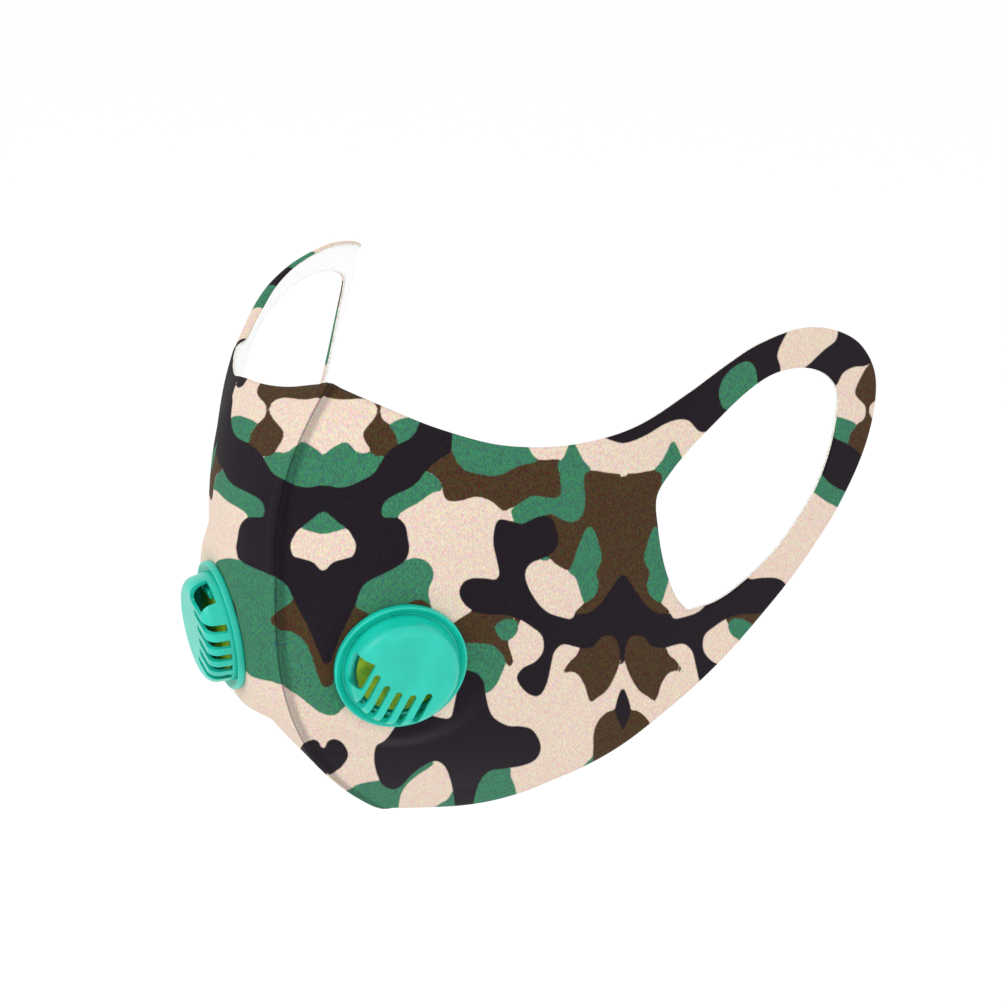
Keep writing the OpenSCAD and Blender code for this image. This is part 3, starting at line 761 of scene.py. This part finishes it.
def camo_cloth():
    """Printed knit of the face. At the seam a dark line of painted shade follows its groove, and beside it a
    band of painted shade lies over the allowance.
    """
    n = Nodes("printed_knit")
    cloth = n.attribute("cloth", "Vector")
    height = knit(n, cloth)
    # Painted shade: the colour is darker in the hollows of the knit, by the knit's height
    knit_shade = n.math("ADD", n.math("MULTIPLY", height, 0.24), 0.88)
    colour = camo_print(n, cloth, knit_shade)
    beside = n.attribute("from_seam")
    # Painted shade: a grey band of shade over the seam allowance beside the seam
    allowance_shade = n.mix(1.0, colour, (0.58, 0.59, 0.61, 1.0), "MULTIPLY")
    allowance = n.math("MULTIPLY", n.ramp(beside, -0.1, 0.2), n.ramp(beside, 4.1, 2.2))
    colour = n.mix(allowance, colour, allowance_shade)
    # Painted shade: a dark line of shade along the seam's groove
    groove = n.mix(1.0, colour, (0.5, 0.5, 0.52, 1.0), "MULTIPLY")
    n.paint(n.mix(n.ramp(n.math("ABSOLUTE", beside), 0.55, 0.15), colour, groove))
    n.bump(height, 0.3, 0.00012)
    n.set(Roughness=0.9, Sheen_Weight=0.02, Sheen_Roughness=0.5, Specular_IOR_Level=0.12)
    return n.material


def lining():
    """White knit, finer than the face."""
    n = Nodes("lining_knit")
    cloth = n.attribute("cloth", "Vector")
    fine = n.noise(cloth, (2.6, 1.8, 1.0), 2.0, 0.6).outputs[0]
    n.paint_between(fine, 0.3, 0.7, srgb(242, 242, 242), srgb(253, 253, 253))
    n.bump(knit(n, cloth, 0.8, 0.6), 0.4, 0.00014)
    n.set(Roughness=0.9, Sheen_Weight=0.08, Specular_IOR_Level=0.2)
    return n.material


def foam():
    """Open cells, seen at the cut edge, with painted shade that darkens the hollows of the cells."""
    n = Nodes("open_foam")
    cells = n.add("ShaderNodeTexVoronoi")
    n.feed(cells.inputs["Scale"], 1.0)
    n.feed(cells.inputs["Vector"], n.scaled(n.attribute("cloth", "Vector"), 3.2))
    # Painted shade: darker in the middle of each cell, where its height is lowest
    n.paint_between(cells.outputs[0], 0.1, 0.7, srgb(196, 190, 180), srgb(238, 234, 226))
    n.bump(cells.outputs[0], 0.5, 0.0001)
    n.set(Roughness=0.95, Specular_IOR_Level=0.2)
    return n.material


def woven_tape():
    """Plain weave across and along the tape, with painted shade in the weave's hollows and a firmer edge."""
    n = Nodes("woven_tape")
    x, y, _ = n.parts(n.attribute("cloth", "Vector"))
    weave = n.math("MULTIPLY", n.wave(x, 0.5), n.wave(y, 0.6))
    edge = n.ramp(n.math("ABSOLUTE", x), TAPE_W / 2 - 0.9, TAPE_W / 2 - 0.5)
    # Painted shade: the weave's colour is darker where its height dips
    woven = n.mix(n.ramp(weave, -0.8, 0.8), srgb(222, 222, 220), srgb(244, 244, 242))
    n.paint(n.mix(edge, woven, srgb(236, 236, 233)))
    n.bump(weave, 0.5, 0.00012)
    n.set(Roughness=0.75, Sheen_Weight=0.1, Specular_IOR_Level=0.3)
    return n.material


def sewing_thread():
    """Twisted thread: dark lines of painted shade wind round each stitch, in the grooves of the twist."""
    n = Nodes("sewing_thread")
    x, y, _ = n.parts(n.attribute("cloth", "Vector"))
    twist = n.math("SINE", n.math("ADD", n.math("MULTIPLY", y, 2 * math.pi / 0.5), x))
    # Painted shade: the thread is darker in the twist's grooves, where its height is low
    n.paint_between(twist, -0.9, 0.2, srgb(198, 198, 196), srgb(242, 242, 240))
    n.bump(twist, 0.6, 0.00006)
    n.set(Roughness=0.6, Sheen_Weight=0.1)
    return n.material


def plastic():
    """Moulded teal plastic with a faint mottle and a fine surface grain."""
    n = Nodes("teal_plastic")
    place = n.add("ShaderNodeTexCoord").outputs["Object"]
    mottle = n.noise(place, 90, 3.0).outputs[0]
    grain = n.noise(place, 1500).outputs[0]
    n.paint_between(mottle, 0.25, 0.75, srgb(6, 183, 161), srgb(16, 197, 175))
    n.roughness(grain, 0.3, 0.1)
    n.bump(grain, 0.05, 0.00005)
    n.set(IOR=1.46, Coat_Weight=0.08, Coat_Roughness=0.2)
    return n.material


def silicone():
    """Soft lime silicone of the flaps, cloudy and slightly translucent."""
    n = Nodes("lime_silicone")
    place = n.add("ShaderNodeTexCoord").outputs["Object"]
    cloud = n.noise(place, 160, 3.0).outputs[0]
    grain = n.noise(place, 900).outputs[0]
    n.paint_between(cloud, 0.3, 0.7, srgb(104, 158, 4), srgb(168, 205, 22))
    n.roughness(grain, 0.36, 0.12)
    n.bump(grain, 0.04, 0.00005)
    n.set(Subsurface_Weight=0.1, Subsurface_Scale=0.001)
    return n.material


# ---- Pieces ----


def make_halves():
    """Face, foam and lining of each half, each in one piece with its ear loop."""
    fine, coarse = half_blank(*FINE_GRID), half_blank(*COARSE_GRID)
    face_end, foam_end = FACE_T, FACE_T + FOAM_T
    layers = (
        ("face", "camo_fabric", camo_cloth(), fine, 0, face_end, FACE_PINCH, seam_form),
        ("foam", "foam", foam(), coarse, face_end + GLUE, foam_end, 0.0, None),
        ("lining", "lining", lining(), coarse, foam_end + GLUE, LAMINATE_T, LINING_PINCH, None),
    )
    for side in ("left", "right"):
        for layer, slot, material, blank, near, far, pinch, form in layers:
            piece, cloth = ply(f"{side}_half_{layer}", blank, near, far, side, material, pinch, form)
            if layer == "face":
                for colour, values in print_fields(cloth, side).items():
                    float_attribute(piece, "print_" + colour, values)
                float_attribute(piece, "from_seam", from_seam(*cloth.T) * (1 if side == "left" else -1))
            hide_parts(f"{side}_panel_{layer}", f"{side}_loop_{layer}")
            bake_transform(piece)


def beside_seam(offset, z, depth):
    """Points beside the seam; a negative offset is on the wearer's right."""
    left, right = (worn(seam_x(z) + np.abs(offset), z, depth, side) for side in ("left", "right"))
    return np.where((offset < 0)[..., None], right, left)


def seam_height(t):
    """Height along the seam, with t from 0 at the chin to 1 at the nose."""
    return CHIN_Z + 1 + (NOSE_Z - CHIN_Z - 2) * t


def make_tape():
    """The tape over the seam inside: a flat woven band, a little thicker along its edges."""
    top_depth = LAMINATE_T + TAPE_GAP
    columns, rows = 25, 141
    offset, t = np.meshgrid(np.linspace(-TAPE_W / 2, TAPE_W / 2, columns), np.linspace(0, 1, rows))
    z = seam_height(t)
    swell = 0.05 * np.cos(offset * 2 * math.pi / STITCH_ROWS) - 0.05
    allowance_shade = np.where(np.abs(offset) > TAPE_W / 2 - 0.01, 0.12, 0)
    upper = beside_seam(offset, z, top_depth + allowance_shade).reshape(-1, 3)
    lower = beside_seam(offset, z, top_depth + TAPE_T + swell - allowance_shade).reshape(-1, 3)
    quads = grid_quads(np.arange(offset.size).reshape(offset.shape))[:, ::-1]
    faces = closed_sheet(quads, outline_edges(quads), offset.size).tolist()
    piece = new_piece("centre_tape", np.concatenate([upper, lower]), faces, woven_tape())
    cloth = np.column_stack([offset.ravel(), z.ravel(), 0 * z.ravel()])
    cloth_place(piece, np.concatenate([cloth, cloth]))
    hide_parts("seam_tape")
    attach(piece, "mask")
    middle = beside_seam(np.zeros(rows), seam_height(np.linspace(0, 1, rows)), top_depth)


def stitch(side, index):
    """One stitch as rings of points, and its thread's coordinates: a short arc that dips into the tape."""
    t = np.linspace(0, 1, STITCH_RINGS)
    from_middle = np.abs(2 * t - 1)
    turn = np.linspace(0, 2 * math.pi, STITCH_SIDES, endpoint=False)
    z = seam_height((index + 0.12 + 0.8 * t) / STITCHES)
    depth = LAMINATE_T + TAPE_GAP + TAPE_T + 0.1 - 0.42 * from_middle**4
    path = beside_seam(np.full(STITCH_RINGS, side * STITCH_ROWS / 2), z, depth)
    along = unit(np.gradient(path, axis=0))
    a = unit(np.cross(along, (1, 0, 0)))[:, None]
    b = np.cross(along, a[:, 0])[:, None]
    radius = (THREAD_R * (1 - 0.35 * from_middle**6))[:, None, None]
    rings = path[:, None] + radius * (np.cos(turn)[:, None] * a + np.sin(turn)[:, None] * b)
    thread = np.stack(np.broadcast_arrays(turn, z[:, None], 0.0), -1)
    return rings.reshape(-1, 3), thread.reshape(-1, 3)


def make_stitches():
    """Two rows of stitches through the tape."""
    made = [stitch(side, index) for side in (-1, 1) for index in range(STITCHES)]
    faces = []
    for k in range(len(made)):
        size = STITCH_RINGS * STITCH_SIDES
        grid = k * size + np.arange(size).reshape(STITCH_RINGS, STITCH_SIDES)
        faces += grid_quads(np.column_stack([grid, grid[:, :1]]))[:, ::-1].tolist()
        faces += [grid[0, ::-1].tolist(), grid[-1].tolist()]
    points, thread = (np.concatenate(part) for part in zip(*made))
    piece = new_piece("seam_stitches", points, faces, sewing_thread())
    cloth_place(piece, thread)
    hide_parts("seam_stitching")
    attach(piece, "mask")


def finish_valves():
    """The valves' CAD nodes keep their shape and get their materials and softened edges."""
    moulded, soft = plastic(), silicone()
    for name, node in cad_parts.items():
        if "valve" in name or "clip" in name or "grille" in name:
            node.data.materials.clear()
            node.data.materials.append(soft if name.endswith("flap") else moulded)
            weld = node.modifiers.new("weld", "WELD")
            weld.merge_threshold = 0.004 * MM
            bevel = node.modifiers.new("soft_edges", "BEVEL")
            bevel.width = 0.18 * MM
            bevel.segments = 2
            bevel.limit_method = "ANGLE"
            bevel.angle_limit = math.radians(38)


def make_mask():
    make_halves()
    make_tape()
    make_stitches()
    finish_valves()


# ---- Stage, in metres ----

FLOOR_SIZE, FLOOR_Z, FLOOR_SHADE = 12, -0.4, 0.95
WORLD_STRENGTH = 1.04
# Soft lights: place, diameter and power
LIGHTS = {
    "key": ((-0.5, -1.3, 1.1), 0.9, 6),
    "fill": ((1.4, -0.8, 0.5), 1.0, 2),
}
LIGHTS_AIM = (0, 0.05, 0)
CAMERA_AZIMUTH, CAMERA_ELEVATION, CAMERA_ROLL = 31.11, 16.94, 1.26
CAMERA_TARGET, CAMERA_DISTANCE = (0.0451, 0.0297, 0.0172), 0.983
CAMERA_LENS, CAMERA_SENSOR = 122.0, 36.0


def softbox(name, place, size, power):
    """A round area light that looks at the mask."""
    light = bpy.data.lights.new(name, "AREA")
    light.shape = "DISK"
    light.size = size
    light.energy = power
    box = bpy.data.objects.new(name, light)
    box.location = place
    box.rotation_euler = (Vector(LIGHTS_AIM) - Vector(place)).to_track_quat("-Z", "Y").to_euler()
    bpy.context.scene.collection.objects.link(box)


def make_floor():
    bpy.ops.mesh.primitive_plane_add(size=FLOOR_SIZE, location=(0, 0, FLOOR_Z))
    floor = bpy.context.object
    floor.name = "floor"
    n = Nodes("floor_white")
    n.paint((FLOOR_SHADE,) * 3 + (1,))
    n.set(Roughness=0.9)
    floor.data.materials.append(n.material)


def make_stage():
    """Pale floor, even white surroundings and the soft lights."""
    make_floor()
    world = bpy.data.worlds.new("studio")
    world.use_nodes = True
    background = world.node_tree.nodes["Background"]
    background.inputs["Color"].default_value = (1, 1, 1, 1)
    background.inputs["Strength"].default_value = WORLD_STRENGTH
    bpy.context.scene.world = world
    for name, (place, size, power) in LIGHTS.items():
        softbox(name, place, size, power)
    bpy.context.scene.view_settings.view_transform = "Standard"


def make_camera():
    azimuth, elevation, roll = (math.radians(a) for a in (CAMERA_AZIMUTH, CAMERA_ELEVATION, CAMERA_ROLL))
    level = math.cos(elevation)
    back = Vector((math.sin(azimuth) * level, -math.cos(azimuth) * level, math.sin(elevation)))
    right = Vector((math.cos(azimuth), math.sin(azimuth), 0))
    up = back.cross(right)
    rolled_right = math.cos(roll) * right + math.sin(roll) * up
    rolled_up = math.cos(roll) * up - math.sin(roll) * right
    lens = bpy.data.cameras.new("camera")
    lens.lens = CAMERA_LENS
    lens.sensor_width = CAMERA_SENSOR
    camera = bpy.data.objects.new("camera", lens)
    turn = Matrix((rolled_right, rolled_up, back)).transposed().to_4x4()
    camera.matrix_world = Matrix.Translation(Vector(CAMERA_TARGET) + CAMERA_DISTANCE * back) @ turn
    bpy.context.scene.collection.objects.link(camera)
    bpy.context.scene.camera = camera


make_camera()
make_mask()
make_stage()
